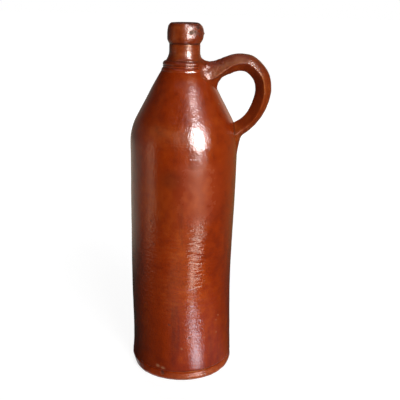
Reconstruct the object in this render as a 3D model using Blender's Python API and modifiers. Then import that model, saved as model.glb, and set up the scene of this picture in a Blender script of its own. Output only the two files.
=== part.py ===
"""Glazed earthenware bottle with a loop handle.

Lengths are in metres. The bottle is turned about Z, stands on Z = 0 and has its handle towards +X.
"""

import math

import bmesh
import bpy
from mathutils import Vector
from mathutils.geometry import interpolate_bezier

# Gap between two pieces of clay that touch
CLEARANCE = 0.0003

# Base disc: a rounded edge under the wall, and a floor that rises inside it
FOOT_SPREAD = 0.0011
FOOT_ROUNDING = 0.0030
FOOT_EDGE_HEIGHT = 0.0050
FLOOR_RISE = 0.0040
FLOOR_CHAMFER = 0.0010

# Wall, drawn in a little at its waist, up to the corner that the shoulder rounds, and the cone above
WALL_THICKNESS = 0.0060
WALL_HEIGHT = 0.2147
WAIST_HEIGHT = 0.0700
WAIST_DRAW = 0.0010
SHOULDER_RADIUS = 0.0449
SHOULDER_FILLET = 0.0460
CONE_HEIGHT = 0.0493
NECK_SEAT_SLANT = 0.0060

# Neck: its flared foot, the root in the shoulder's opening and the thinned end inside the lip
BORE_RADIUS = 0.0090
NECK_WALL = 0.0036
NECK_HEIGHT = 0.0132
NECK_FLARE = 0.0026
NECK_FLARE_HEIGHT = 0.0055
NECK_ROOT_WALL = 0.0032
NECK_ROOT_DEPTH = 0.0075
NECK_END_WALL = 0.0019
NECK_END_HEIGHT = 0.0085
NECK_BORE_FLARE = 0.0010

# Collar ring round the neck's root, with a ledge outside the neck's foot
COLLAR_LEDGE = 0.0025
COLLAR_HEIGHT = 0.0060
COLLAR_EDGE = 0.0007
COLLAR_GROOVE_WIDTH = 0.0014
COLLAR_GROOVE_DEPTH = 0.0006

# Lip: how far its belly and its top stand out from the neck
LIP_HEIGHT = 0.0168
LIP_BELLY = 0.0023
LIP_BELLY_HEIGHT = 0.0070
LIP_TOP = 0.0012
LIP_UNDERCUT = 0.0020
LIP_ROUNDING = 0.0019
LIP_MOUTH_ROUNDING = 0.0012

# Handle: a round loop that a bend joins to the collar and a straighter tail to the shoulder
HANDLE_THICKNESS = 0.0137
HANDLE_WIDTH = 0.0185
HANDLE_STANDOFF = 0.0200
HANDLE_CREST_RISE = 0.0062
HANDLE_LOOP_RADIUS = 0.0195
HANDLE_LOOP_START = math.radians(124)
HANDLE_ROOT_PULL = 0.0088
HANDLE_ROOT_THICKNESS = 0.0148
HANDLE_TAIL_PULL = 0.0180
HANDLE_TAIL_DROP = 0.0070
HANDLE_TAIL_SLOPE = math.radians(38)
HANDLE_TAIL_THICKNESS = 0.0126

# Wads round the handle's roots: their spread on the body and their reach out along the handle
UPPER_PAD_SIDE = 0.0180
UPPER_PAD_FALL = 0.0150
UPPER_PAD_REACH = 0.0130
UPPER_PAD_BELOW_LEDGE = 0.0010
LOWER_PAD_SIDE = 0.0140
LOWER_PAD_RISE = 0.0100
LOWER_PAD_FALL = 0.0220
LOWER_PAD_REACH = 0.0100
PAD_EDGE = 0.0010
PAD_SINK = 0.0020

# Facets
BODY_STEPS = 56
NECK_STEPS = 40
FILLET_STEPS = 7
WALL_STEPS = 4
ROUNDING_STEPS = 4
SECTION_SIDES = 20
LOOP_STEPS = 15
END_STEPS = 7
PAD_SIDES = 24
PAD_RINGS = 6
CORNER_STEPS = 30

# Points closer than this are one point
WELD = 0.00001

# Glaze colours and gloss
BODY_COLOUR = (0.23, 0.045, 0.012)
FOOT_COLOUR = (0.27, 0.075, 0.022)
NECK_COLOUR = (0.20, 0.040, 0.014)
HANDLE_COLOUR = (0.22, 0.045, 0.013)
GLAZE_ROUGHNESS = 0.16

# Heights that follow from the pieces below
WALL_FOOT = FOOT_EDGE_HEIGHT + CLEARANCE
BODY_HEIGHT = WALL_HEIGHT + CONE_HEIGHT
COLLAR_TOP = BODY_HEIGHT + COLLAR_HEIGHT
LIP_BASE = COLLAR_TOP + NECK_HEIGHT
RIM_HEIGHT = LIP_BASE + LIP_HEIGHT

# Radii that follow from the pieces inside or above
WAIST_RADIUS = SHOULDER_RADIUS - WAIST_DRAW
FOOT_RADIUS = WAIST_RADIUS + FOOT_SPREAD
NECK_RADIUS = BORE_RADIUS + NECK_WALL
NECK_ROOT_RADIUS = BORE_RADIUS + NECK_ROOT_WALL
NECK_END_RADIUS = BORE_RADIUS + NECK_END_WALL
COLLAR_RADIUS = NECK_RADIUS + NECK_FLARE + COLLAR_LEDGE
LIP_RADIUS = NECK_RADIUS + LIP_BELLY
LIP_TOP_RADIUS = NECK_RADIUS + LIP_TOP

# The cone's angle from upright, and the middle of the arc that rounds the shoulder
CONE_ANGLE = math.atan2(SHOULDER_RADIUS - COLLAR_RADIUS, CONE_HEIGHT)
FILLET_BASE = WALL_HEIGHT - SHOULDER_FILLET * math.tan(CONE_ANGLE / 2)
FILLET_CENTRE = SHOULDER_RADIUS - SHOULDER_FILLET


def clear_scene():
    for item in list(bpy.data.objects):
        bpy.data.objects.remove(item, do_unlink=True)


def new_collection(name):
    collection = bpy.data.collections.new(name)
    bpy.context.scene.collection.children.link(collection)
    return collection


def glaze(piece, colour):
    """The plain fired glaze of one piece."""
    material = bpy.data.materials.new(piece + "_glaze")
    material.use_nodes = True
    shader = material.node_tree.nodes["Principled BSDF"]
    shader.inputs["Base Color"].default_value = (*colour, 1.0)
    shader.inputs["Roughness"].default_value = GLAZE_ROUGHNESS
    shader.inputs["Metallic"].default_value = 0.0
    return material


def place(name, data, collection, colour=None):
    """An object for this mesh or curve. One with no colour is a cutter or a guide."""
    item = bpy.data.objects.new(name, data)
    collection.objects.link(item)
    if colour is None:
        item.hide_render = True
        item.display_type = "WIRE"
    else:
        data.materials.append(glaze(name, colour))
    return item


def turn(name, outline, steps, collection, colour=None, closed=True):
    """Spins an outline of (radius, height) points about Z. It runs down its outer side."""
    mesh = bpy.data.meshes.new(name)
    count = len(outline)
    edges = [(index, index + 1) for index in range(count - 1)]
    if closed:
        edges.append((count - 1, 0))
    mesh.from_pydata([(radius, 0.0, height) for radius, height in outline], edges, [])
    item = place(name, mesh, collection, colour)
    screw = item.modifiers.new("Turn", "SCREW")
    screw.axis = "Z"
    screw.steps = steps
    screw.render_steps = steps
    screw.use_merge_vertices = True
    screw.merge_threshold = WELD
    screw.use_smooth_shade = True
    return item


def cut(item, cutter):
    boolean = item.modifiers.new("Cut by " + cutter.name, "BOOLEAN")
    boolean.operation = "DIFFERENCE"
    boolean.solver = "EXACT"
    boolean.object = cutter


def ease(start, end, share):
    """A value between start and end that leaves and arrives level."""
    return start + (end - start) * share * share * (3 - 2 * share)


def quarter_round(centre_radius, centre_height, rounding, start, end):
    """Points of an arc in the outline's plane, between two angles from level."""
    points = []
    for step in range(ROUNDING_STEPS + 1):
        angle = start + (end - start) * step / ROUNDING_STEPS
        radius = centre_radius + rounding * math.cos(angle)
        points.append((radius, centre_height + rounding * math.sin(angle)))
    return points


def wall_outline(inset, top):
    """The wall's side from a height on the cone down to the foot, this far inside its outer face."""
    lean = inset / math.cos(CONE_ANGLE)
    points = [(COLLAR_RADIUS + (BODY_HEIGHT - top) * math.tan(CONE_ANGLE) - lean, top)]
    arc = SHOULDER_FILLET - inset
    for step in range(FILLET_STEPS + 1):
        angle = CONE_ANGLE * (1 - step / FILLET_STEPS)
        points.append((FILLET_CENTRE + arc * math.cos(angle), FILLET_BASE + arc * math.sin(angle)))
    for step in range(1, WALL_STEPS + 1):
        share = step / WALL_STEPS
        height = FILLET_BASE + (WAIST_HEIGHT - FILLET_BASE) * share
        points.append((ease(SHOULDER_RADIUS, WAIST_RADIUS, share) - inset, height))
    for step in range(1, WALL_STEPS + 1):
        share = step / WALL_STEPS
        height = WAIST_HEIGHT + (WALL_FOOT - WAIST_HEIGHT) * share
        points.append((ease(WAIST_RADIUS, FOOT_RADIUS, share) - inset, height))
    return points


def outer_radius(height):
    """Radius of the collar, cone, shoulder or upper wall at this height."""
    if height > BODY_HEIGHT:
        return COLLAR_RADIUS
    outline = wall_outline(0.0, BODY_HEIGHT)
    for (upper_radius, upper), (lower_radius, lower) in zip(outline, outline[1:]):
        if height >= lower:
            return upper_radius + (lower_radius - upper_radius) * (upper - height) / (upper - lower)
    return FOOT_RADIUS


def make_base_disc(collection):
    """The slab under the wall, with a rounded lower edge and a floor that rises inside the wall."""
    floor = FOOT_RADIUS - WALL_THICKNESS - CLEARANCE
    floor_height = FOOT_EDGE_HEIGHT + FLOOR_RISE
    outline = [
        (0.0, floor_height),
        (floor - FLOOR_CHAMFER, floor_height),
        (floor, floor_height - FLOOR_CHAMFER),
        (floor, FOOT_EDGE_HEIGHT),
        (FOOT_RADIUS, FOOT_EDGE_HEIGHT),
    ]
    outline += quarter_round(FOOT_RADIUS - FOOT_ROUNDING, FOOT_ROUNDING, FOOT_ROUNDING, 0.0, -math.pi / 2)
    outline.append((0.0, 0.0))
    turn("base_disc", outline, BODY_STEPS, collection, FOOT_COLOUR, closed=False)


def make_body_wall(collection):
    """The hollow cylinder, shoulder and cone, thicker round the opening that the neck sits in."""
    opening = NECK_ROOT_RADIUS + CLEARANCE
    opening_base = BODY_HEIGHT - NECK_ROOT_DEPTH
    outer = wall_outline(0.0, BODY_HEIGHT)
    inner = wall_outline(WALL_THICKNESS, opening_base - NECK_SEAT_SLANT)
    inner.reverse()
    outline = outer + inner + [(opening, opening_base), (opening, BODY_HEIGHT)]
    turn("body_wall", outline, BODY_STEPS, collection, BODY_COLOUR)


def make_shoulder_collar(collection):
    """The ring round the neck's root, with softened edges and a tooled groove."""
    bottom = BODY_HEIGHT + CLEARANCE
    middle = (bottom + COLLAR_TOP) / 2
    half_groove = COLLAR_GROOVE_WIDTH / 2
    inner = NECK_ROOT_RADIUS + CLEARANCE
    outline = [
        (inner, COLLAR_TOP),
        (COLLAR_RADIUS - COLLAR_EDGE, COLLAR_TOP),
        (COLLAR_RADIUS, COLLAR_TOP - COLLAR_EDGE),
        (COLLAR_RADIUS, middle + half_groove),
        (COLLAR_RADIUS - COLLAR_GROOVE_DEPTH, middle),
        (COLLAR_RADIUS, middle - half_groove),
        (COLLAR_RADIUS, bottom),
        (inner, bottom),
    ]
    turn("shoulder_collar", outline, NECK_STEPS, collection, BODY_COLOUR)


def make_neck_tube(collection):
    """The neck: a thinned end for the lip, a flared foot on the collar and a root in the shoulder."""
    end_top = LIP_BASE + NECK_END_HEIGHT
    foot = COLLAR_TOP + CLEARANCE
    root = BODY_HEIGHT - NECK_ROOT_DEPTH
    outline = [
        (BORE_RADIUS, end_top),
        (NECK_END_RADIUS, end_top),
        (NECK_END_RADIUS, LIP_BASE),
        (NECK_RADIUS, LIP_BASE),
    ]
    for step in range(ROUNDING_STEPS + 1):
        share = step / ROUNDING_STEPS
        outline.append((NECK_RADIUS + NECK_FLARE * share * share, foot + NECK_FLARE_HEIGHT * (1 - share)))
    outline += [
        (NECK_ROOT_RADIUS, foot),
        (NECK_ROOT_RADIUS, root),
        (BORE_RADIUS + NECK_BORE_FLARE, root),
        (BORE_RADIUS, root + NECK_BORE_FLARE),
    ]
    turn("neck_tube", outline, NECK_STEPS, collection, NECK_COLOUR)


def make_lip_ring(collection):
    """The thick rim: a flat top between two roundings, a full belly and an undercut foot."""
    base = LIP_BASE + CLEARANCE
    socket = NECK_END_RADIUS + CLEARANCE
    socket_top = LIP_BASE + NECK_END_HEIGHT + CLEARANCE
    mouth = (BORE_RADIUS + LIP_MOUTH_ROUNDING, RIM_HEIGHT - LIP_MOUTH_ROUNDING)
    edge = (LIP_TOP_RADIUS - LIP_ROUNDING, RIM_HEIGHT - LIP_ROUNDING)
    belly = base + LIP_BELLY_HEIGHT
    outline = quarter_round(*mouth, LIP_MOUTH_ROUNDING, math.pi, math.pi / 2)
    outline += quarter_round(*edge, LIP_ROUNDING, math.pi / 2, 0.0)
    for step in range(1, ROUNDING_STEPS + 1):
        share = step / ROUNDING_STEPS
        height = edge[1] + (belly - edge[1]) * share
        outline.append((ease(LIP_TOP_RADIUS, LIP_RADIUS, share), height))
    for step in range(1, ROUNDING_STEPS + 1):
        angle = math.pi / 2 * step / ROUNDING_STEPS
        radius = LIP_RADIUS - LIP_UNDERCUT * (1 - math.cos(angle))
        outline.append((radius, belly - LIP_BELLY_HEIGHT * math.sin(angle)))
    outline += [(socket, base), (socket, socket_top), (BORE_RADIUS, socket_top)]
    turn("lip_ring", outline, NECK_STEPS, collection, NECK_COLOUR)


def handle_path():
    """Centre line of the handle in the XZ plane, with the section's scale at each point."""
    centre = Vector((
        SHOULDER_RADIUS + HANDLE_STANDOFF - HANDLE_LOOP_RADIUS,
        BODY_HEIGHT + HANDLE_CREST_RISE - HANDLE_LOOP_RADIUS,
    ))
    loop = []
    for step in range(LOOP_STEPS + 1):
        angle = HANDLE_LOOP_START * (1 - step / LOOP_STEPS)
        loop.append(centre + HANDLE_LOOP_RADIUS * Vector((math.cos(angle), math.sin(angle))))
    root = Vector((NECK_ROOT_RADIUS, BODY_HEIGHT))
    tail = Vector((SHOULDER_RADIUS - WALL_THICKNESS, WALL_HEIGHT - HANDLE_TAIL_DROP))
    root_pull = Vector((HANDLE_ROOT_PULL, 0.0))
    loop_pull = HANDLE_ROOT_PULL * Vector((math.sin(HANDLE_LOOP_START), -math.cos(HANDLE_LOOP_START)))
    drop_pull = Vector((0.0, -HANDLE_TAIL_PULL))
    tail_pull = HANDLE_TAIL_PULL * Vector((math.cos(HANDLE_TAIL_SLOPE), math.sin(HANDLE_TAIL_SLOPE)))
    bend = interpolate_bezier(root, root + root_pull, loop[0] - loop_pull, loop[0], END_STEPS)
    drop = interpolate_bezier(loop[-1], loop[-1] + drop_pull, tail + tail_pull, tail, END_STEPS)
    rest = loop[1:] + drop[1:]
    root_scale = HANDLE_ROOT_THICKNESS / HANDLE_THICKNESS
    tail_scale = HANDLE_TAIL_THICKNESS / HANDLE_THICKNESS
    path = []
    for index, point in enumerate(bend):
        path.append((point, ease(root_scale, 1.0, index / (len(bend) - 1))))
    for index, point in enumerate(rest):
        path.append((point, ease(1.0, tail_scale, (index + 1) / len(rest))))
    return [(Vector((point.x, 0.0, point.y)), scale) for point, scale in path]


def section_point(angle, grow):
    """The handle's section: (sideways, outwards), round on its outer face and flatter on its inner one."""
    sideways = (HANDLE_WIDTH / 2 + grow) * math.sin(angle)
    outwards = math.cos(angle)
    if outwards < 0.0:
        outwards = -math.sqrt(-outwards)
    return sideways, outwards * (HANDLE_THICKNESS / 2 + grow)


def sweep_handle(name, grow, collection, guides, colour=None):
    """The handle as a closed mesh, swept along its path with a section that is larger by grow."""
    section = bpy.data.curves.new(name + "_section", "CURVE")
    section.dimensions = "2D"
    outline = section.splines.new("POLY")
    outline.points.add(SECTION_SIDES - 1)
    outline.use_cyclic_u = True
    for index, point in enumerate(outline.points):
        sideways, outwards = section_point(2 * math.pi * index / SECTION_SIDES, grow)
        point.co = (sideways, outwards, 0.0, 1.0)
    section_guide = place(name + "_section", section, guides)
    curve = bpy.data.curves.new(name + "_path", "CURVE")
    curve.dimensions = "3D"
    curve.twist_mode = "MINIMUM"
    curve.bevel_mode = "OBJECT"
    curve.bevel_object = section_guide
    curve.use_fill_caps = True
    spline = curve.splines.new("POLY")
    path = handle_path()
    spline.points.add(len(path) - 1)
    for point, (centre, scale) in zip(spline.points, path):
        point.co = (*centre, 1.0)
        point.radius = scale
    guide = place(name + "_path", curve, guides)
    bpy.context.view_layer.update()
    graph = bpy.context.evaluated_depsgraph_get()
    mesh = bpy.data.meshes.new_from_object(guide.evaluated_get(graph))
    mesh.name = name
    shape = bmesh.new()
    shape.from_mesh(mesh)
    bmesh.ops.remove_doubles(shape, verts=shape.verts, dist=WELD)
    bmesh.ops.recalc_face_normals(shape, faces=shape.faces)
    shape.to_mesh(mesh)
    shape.free()
    mesh.shade_smooth()
    matrix = guide.matrix_world.copy()
    bpy.data.objects.remove(guide, do_unlink=True)
    bpy.data.objects.remove(section_guide, do_unlink=True)
    item = place(name, mesh, collection, colour)
    item.matrix_world = matrix
    return item


def make_envelope(name, grow, cutters):
    """The outside of neck, collar and body as one solid, larger by grow. It trims what sits on them."""
    outline = [
        (0.0, LIP_BASE),
        (NECK_RADIUS + grow, LIP_BASE),
        (NECK_RADIUS + grow, COLLAR_TOP + NECK_FLARE_HEIGHT),
        (NECK_RADIUS + NECK_FLARE + grow, COLLAR_TOP + grow),
        (COLLAR_RADIUS + grow, COLLAR_TOP + grow),
        (COLLAR_RADIUS + grow, BODY_HEIGHT + grow),
    ]
    outline += wall_outline(-grow, BODY_HEIGHT)
    outline.append((0.0, WALL_FOOT))
    return turn(name, outline, BODY_STEPS, cutters, closed=False)


def path_ring(path, distance, grow):
    """Points round the handle at this distance along a path, this far outside its section."""
    travelled = 0.0
    for (start, start_scale), (end, end_scale) in zip(path, path[1:]):
        length = (end - start).length
        if travelled + length >= distance:
            break
        travelled += length
    share = (distance - travelled) / length
    centre = start.lerp(end, share)
    scale = start_scale + (end_scale - start_scale) * share
    outwards = Vector((0.0, 1.0, 0.0)).cross(end - start).normalized()
    if path[0][0].z > path[-1][0].z:
        outwards.negate()
    side = -1 if outwards.z < 0.0 else 1
    ring = []
    for index in range(PAD_SIDES):
        angle = math.pi / 2 - 2 * math.pi * index / PAD_SIDES * side
        sideways, out = section_point(angle, grow / scale)
        ring.append(centre + Vector((0.0, sideways * scale, 0.0)) + outwards * out * scale)
    return ring


def surface_point(path):
    """Where a path comes out of the collar, cone or wall: the distance along it and the height."""
    travelled = 0.0
    for (start, _), (end, _) in zip(path, path[1:]):
        buried = outer_radius(start.z) - start.x
        proud = end.x - outer_radius(end.z)
        if proud > 0.0:
            break
        travelled += (end - start).length
    share = buried / (buried + proud)
    return travelled + (end - start).length * share, start.z + (end.z - start.z) * share


def wall_ring(height, spread, grow):
    """An oval round a height on +X, this far outside the body. Its spread is (sideways, up, down)."""
    side, rise, fall = spread
    ring = []
    for index in range(PAD_SIDES):
        angle = 2 * math.pi * index / PAD_SIDES
        climb = math.sin(angle)
        point_height = height + climb * (rise if climb > 0.0 else fall)
        radius = outer_radius(point_height)
        turned = side * math.cos(angle) / radius
        radius += grow
        ring.append(Vector((radius * math.cos(turned), radius * math.sin(turned), point_height)))
    return ring


def loft(name, rings, collection, colour):
    """A closed mesh through rings that have as many points each."""
    shape = bmesh.new()
    rows = [[shape.verts.new(point) for point in ring] for ring in rings]
    for lower, upper in zip(rows, rows[1:]):
        for index in range(len(lower)):
            following = (index + 1) % len(lower)
            shape.faces.new((lower[index], lower[following], upper[following], upper[index]))
    shape.faces.new(rows[0])
    shape.faces.new(rows[-1])
    bmesh.ops.triangulate(shape, faces=shape.faces)
    bmesh.ops.recalc_face_normals(shape, faces=shape.faces)
    mesh = bpy.data.meshes.new(name)
    shape.to_mesh(mesh)
    shape.free()
    mesh.shade_smooth()
    return place(name, mesh, collection, colour)


def corner_ring(path, limit, grow):
    """For each line along the handle's surface, the point where it comes out of the body."""
    rings = [path_ring(path, limit * step / CORNER_STEPS, grow) for step in range(CORNER_STEPS + 1)]
    corners = []
    for line in zip(*rings):
        outside = [point for point in line if math.hypot(point.x, point.y) > outer_radius(point.z) + grow]
        corners.append(outside[0] if outside else line[-1])
    return corners


def make_pad(name, path, spread, reach, collection):
    """A wad of clay that hollows from the wall up to the handle, round the root where a path starts."""
    emerges, height = surface_point(path)
    foot = wall_ring(height, spread, PAD_EDGE)
    corner = corner_ring(path, emerges + reach, PAD_EDGE)
    top = path_ring(path, emerges + reach, PAD_EDGE)
    rings = [wall_ring(height, spread, -PAD_SINK)]
    for step in range(PAD_RINGS):
        share = step / (PAD_RINGS - 1)
        ring = []
        for low, middle, high in zip(foot, corner, top):
            ring.append(low.lerp(middle, share).lerp(middle.lerp(high, share), share))
        rings.append(ring)
    rings.append(path_ring(path, emerges + reach, -PAD_SINK))
    return loft(name, rings, collection, HANDLE_COLOUR)


def make_pads(collection):
    """The wads at the handle's two roots. The upper one ends just below the collar's ledge."""
    down = handle_path()
    up = down[::-1]
    upper_rise = COLLAR_TOP - UPPER_PAD_BELOW_LEDGE - surface_point(down)[1]
    upper_spread = (UPPER_PAD_SIDE, upper_rise, UPPER_PAD_FALL)
    lower_spread = (LOWER_PAD_SIDE, LOWER_PAD_RISE, LOWER_PAD_FALL)
    upper = make_pad("upper_luting_pad", down, upper_spread, UPPER_PAD_REACH, collection)
    lower = make_pad("lower_luting_pad", up, lower_spread, LOWER_PAD_REACH, collection)
    return upper, lower


def main():
    clear_scene()
    bottle = new_collection("earthenware_bottle")
    cutters = new_collection("cutters")
    make_base_disc(bottle)
    make_body_wall(bottle)
    make_shoulder_collar(bottle)
    make_neck_tube(bottle)
    make_lip_ring(bottle)
    envelope = make_envelope("body_envelope", CLEARANCE, cutters)
    handle_room = sweep_handle("handle_room", CLEARANCE, cutters, cutters)
    handle = sweep_handle("handle", 0.0, bottle, cutters, HANDLE_COLOUR)
    cut(handle, envelope)
    for pad in make_pads(bottle):
        cut(pad, envelope)
        cut(pad, handle_room)


main()
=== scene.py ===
"""Dresses the packed earthenware bottle: thrown clay under red-brown glaze, soft light and a camera."""

import math

import bmesh
import bpy
import numpy as np
from mathutils import Matrix, Vector


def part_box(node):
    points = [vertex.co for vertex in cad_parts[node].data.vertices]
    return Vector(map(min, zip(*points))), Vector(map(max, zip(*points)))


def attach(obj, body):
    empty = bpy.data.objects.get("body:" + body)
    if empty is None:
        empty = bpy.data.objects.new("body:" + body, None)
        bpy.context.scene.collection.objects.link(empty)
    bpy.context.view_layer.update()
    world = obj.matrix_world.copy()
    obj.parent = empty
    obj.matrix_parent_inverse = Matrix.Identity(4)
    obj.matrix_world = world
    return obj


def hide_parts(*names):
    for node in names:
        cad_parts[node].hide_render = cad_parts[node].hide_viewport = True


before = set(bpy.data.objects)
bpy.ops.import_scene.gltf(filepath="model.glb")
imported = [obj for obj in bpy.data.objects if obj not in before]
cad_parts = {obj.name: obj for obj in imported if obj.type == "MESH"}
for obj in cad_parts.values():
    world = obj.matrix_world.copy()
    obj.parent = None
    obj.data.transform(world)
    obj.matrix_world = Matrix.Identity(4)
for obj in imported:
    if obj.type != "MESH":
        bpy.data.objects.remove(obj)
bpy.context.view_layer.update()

# The bottle's shapes are worked out in millimetres and its skins made in metres. The stage is in metres.
MM = 0.001

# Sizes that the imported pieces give
_, BASE_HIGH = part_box("base_disc")
WALL_LOW, WALL_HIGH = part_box("body_wall")
_, COLLAR_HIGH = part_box("shoulder_collar")
LIP_LOW, LIP_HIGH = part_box("lip_ring")
FOOT_RADIUS = BASE_HIGH.y / MM
BODY_TOP = WALL_HIGH.z / MM
COLLAR_TOP = COLLAR_HIGH.z / MM
COLLAR_RADIUS = COLLAR_HIGH.y / MM
LIP_BASE = LIP_LOW.z / MM
RIM_HEIGHT = LIP_HIGH.z / MM

# Mesh density: segments round the axis, steps along outlines, and the distance that joins points
BODY_SEGMENTS = 224
NECK_SEGMENTS = 168
FINE = 0.45
MEDIUM = 0.8
COARSE = 5.0
UNDERSIDE_STEP = 1.5
BORE_STEP = 2.0
WELD = 0.001

# Waves in one ripple, the spread of their lengths and their gain
RIPPLE_WAVES = 14
RIPPLE_SPREAD = (0.6, 1.4)
RIPPLE_GAIN = 3.0

# Wall and shoulder. Ripples are given by height, length and seed.
WALL_THICKNESS = 6.0
SHOULDER_RADIUS = FOOT_RADIUS - 0.1
SHOULDER_FILLET = 46.0
SHOULDER_CORNER = 214.7
CONE_ANGLE = math.atan2(SHOULDER_RADIUS - COLLAR_RADIUS, BODY_TOP - SHOULDER_CORNER)
FILLET_BASE = SHOULDER_CORNER - SHOULDER_FILLET * math.tan(CONE_ANGLE / 2)
CONE_FOOT = FILLET_BASE + SHOULDER_FILLET * math.sin(CONE_ANGLE)
OPENING_RADIUS = 12.6
OPENING_DEPTH = 7.5
INSIDE_TOP = BODY_TOP - 14.0
WALL_RIPPLES = ((0.14, 46, 21), (0.05, 15, 22))
# Against the height: radius of the wall, how far the cone swells out and how far the axis leans
WALL_KNOTS = ((0, 45.2), (16, 44.4), (70, 43.8), (118, 44.2), (165, 44.9), (203, 44.9))
CONE_SWELL = ((226, 0), (238, 0.1), (250, 0.35), (264, 0.05))
LEAN_KNOTS = (
    (0, 0.5), (20, 0.7), (78, -0.6), (118, -0.4), (150, 0.1), (200, 0.25), (264, 0.0), (300, 0.0),
)

# Spiral of the potter's fingers: depth against the height, pitch and how it varies, wander and unevenness
RING_DEPTH = (
    (0, 0.01), (40, 0.015), (70, 0.03), (100, 0.04), (140, 0.03), (155, 0.01), (200, 0.004), (264, 0.002),
)
RING_PITCH = 4.6
PITCH_CHANGE = 0.5
PITCH_LENGTH = 31
RING_WANDER = ((0.8, 60, 3),)
RING_UNEVEN = ((0.5, 45, 4),)
RING_MEAN = 0.6

# Groove above the foot ring: height, turn and half width of its open side, and what stays open elsewhere
RING_TOP = WALL_LOW.z / MM + 3.3
GROOVE_SIDE = (-45, 48)
GROOVE_LEAST = 0.04
# Darkening in the groove, partly pooled glaze and partly painted shade: its strength, and its half height on
# the foot and on the wall
GROOVE_POOL_AND_SHADE = 0.5
BASE_POOL_AND_SHADE_HALF = 0.4
WALL_POOL_AND_SHADE_HALF = 0.9
# Rounding of the wall over the groove: places in from the wall and up from the groove
WALL_ROUNDING = ((0.1, 1.3), (0.35, 0.6), (0.75, 0.1), (1.5, -0.15))

# Foot: inside floor, then its edge as places out from its radius, down from the groove or up from below
FLOOR_HEIGHT = 9.0
FLOOR_RADIUS = 37.6
UPPER_EDGE = ((-1.3, 0.05), (-1.15, 0.5), (-1.1, 1.4), (-0.75, 2.6), (-0.3, 3.9), (0.15, 5.2))
LOWER_EDGE = ((0.1, 2.0), (-0.5, 0.9), (-1.6, 0.25), (-3.2, 0.0))
EDGE_RADIUS = 40.0
FLUSH_TOP = RING_TOP - 5.0
FOOT_RIPPLES = ((0.16, 9, 11),)
# Its underside, rough but for the middle
UNDER_RIPPLES = ((0.12, 12, 12),)
UNDER_LIFT = 0.12
UNDER_TOP = 0.2
UNDER_MIDDLE = 2.0
# Trims at the foot: turn and half width in degrees, depth
FOOT_TRIMS = ((-158, 20, 1.5), (-10, 14, 0.4))
TRIM_RISE = (7.0, -5.0)
# Chips and bare marks: turn, height, half width and half height
FOOT_CHIPS = ((-104, 6.4, 1.5, 2.0), (38, 2.0, 2.4, 1.3), (155, 3.0, 1.8, 1.1))
CHIP_DEPTH = 0.55
BARE_MARKS = ((-79, 1.9, 2.6, 0.6), (-71, 2.4, 1.8, 0.6), (-88, 1.6, 2.0, 0.6))
MARK_SHARE = 0.7
# Bare clay, thin glaze and dull glaze on the foot
BARE_TOP = 1.0
BARE_FADE = 0.5
BARE_RIPPLES = ((0.35, 14, 13),)
THIN_HEIGHT = 4.2
THIN_RISE = (4.5, -3.0)
FOOT_DULL_RISE = (RING_TOP - 2.0, 0.6)
FOOT_DULL_SIDE = (-165, 35)
FOOT_DULL_SHARE = 0.95

# Dark pits and pale specks on the wall: turn from the handle, height and half width
PITS = (
    (-95.7, 53.2, 0.9), (-73.3, 41.5, 1.1), (-117.4, 144.2, 0.8), (-113.7, 124.7, 0.8),
    (-104.5, 9.0, 1.3), (70, 92, 0.9),
)
PIT_DEPTH = 0.18
SPECKS = (
    (-35.7, 56.5, 0.8), (-39, 52.7, 0.7), (-38.6, 41, 0.8), (-55.5, 40.2, 0.7), (-82, 31.2, 1.0),
    (-109.7, 12.1, 1.8), (-103.3, 10.9, 1.8), (-21.5, 237.5, 0.7), (140, 64, 0.9),
)
SPECK_SHAPE = 0.8
SPECK_SHARE = 0.75

# Patches in the wall's glaze: field, strength, turn and half width in degrees, height, half height, sharpness
BODY_PATCHES = (
    ("hazy", 1.0, -68, 34, 169, 25, 8),
    ("dull", 0.68, -68, 34, 169, 25, 8),
    ("pool_and_shade", 0.12, -68, 34, 169, 25, 8),
    ("pool_and_shade", 0.3, -104, 20, 164, 34, 4),
    ("dull", 0.6, -64, 22, 80, 4, 4),
    ("dull", 0.4, -64, 22, 60.5, 2.5, 4),
)
# Spots in it: field, strength, turn, height, half width and half height. The first two darken the wall beside
# the handle's lower root as painted shade.
BODY_SPOTS = (
    ("pool_and_shade", 0.8, -11, 213, 1.6, 7),
    ("pool_and_shade", 0.8, 11, 213, 1.6, 7),
    ("pool_and_shade", 0.35, -94, 181, 8, 8),
    ("thin", 0.3, -97, 214, 15, 11),
)
# Its sides: field, strength, turn and half width, height where it starts and how soon it is full. The
# darkening low on the left side is painted shade.
BODY_SIDES = (("pool_and_shade", 0.45, -148, 36, 165, -80), ("dull", 0.85, -152, 30, 34, -20))
# The cone all round: field, strength, height where it starts and how soon it is full
CONE_FADES = (("dull", 0.85, 250, 8), ("hazy", 0.45, 212, 20))
# Finger marks: height, half height and sharpness of their band, then turn and half width in front and behind
FINGER_BAND = (102, 38, 4)
FINGER_FRONT = (-72, 38)
FINGER_BACK = (120, 60)
FINGER_BACK_SHARE = 0.45
# Smears of thin glaze across them
SMEAR_SIDE = (-96, 17)
SMEAR_SHARE = 0.7
SMEAR_PITCH = 4.2
SMEAR_MEAN = 0.6
SMEAR_SWING = 0.4
SMEAR_WANDER = ((1.5, 14, 23),)
SMEAR_BREAKS = ((0.6, 18, 24),)
SMEAR_COVER = 0.8

# Collar: its ledge and two beads as places out from its edge and down from its top
LEDGE_RADIUS = 12.4
COLLAR_DEPTH = 9.0
COLLAR_PROFILE = (
    (-3.0, 0.05), (-1.5, 0.0), (-0.7, 0.6), (-0.15, 1.6), (0.0, 2.4), (-0.2, 3.0),
    (-0.55, 3.4), (-0.25, 3.8), (-0.1, 4.2), (-0.3, 4.7), (-0.5, 5.0), (-0.1, 5.4),
    (0.5, 6.0), (0.95, 6.9), (1.15, 7.6), (1.25, 8.3), (1.2, 9.0),
)
COLLAR_OUT = ((0.1, 9, 31),)
COLLAR_UP = ((0.12, 16, 32),)
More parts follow.
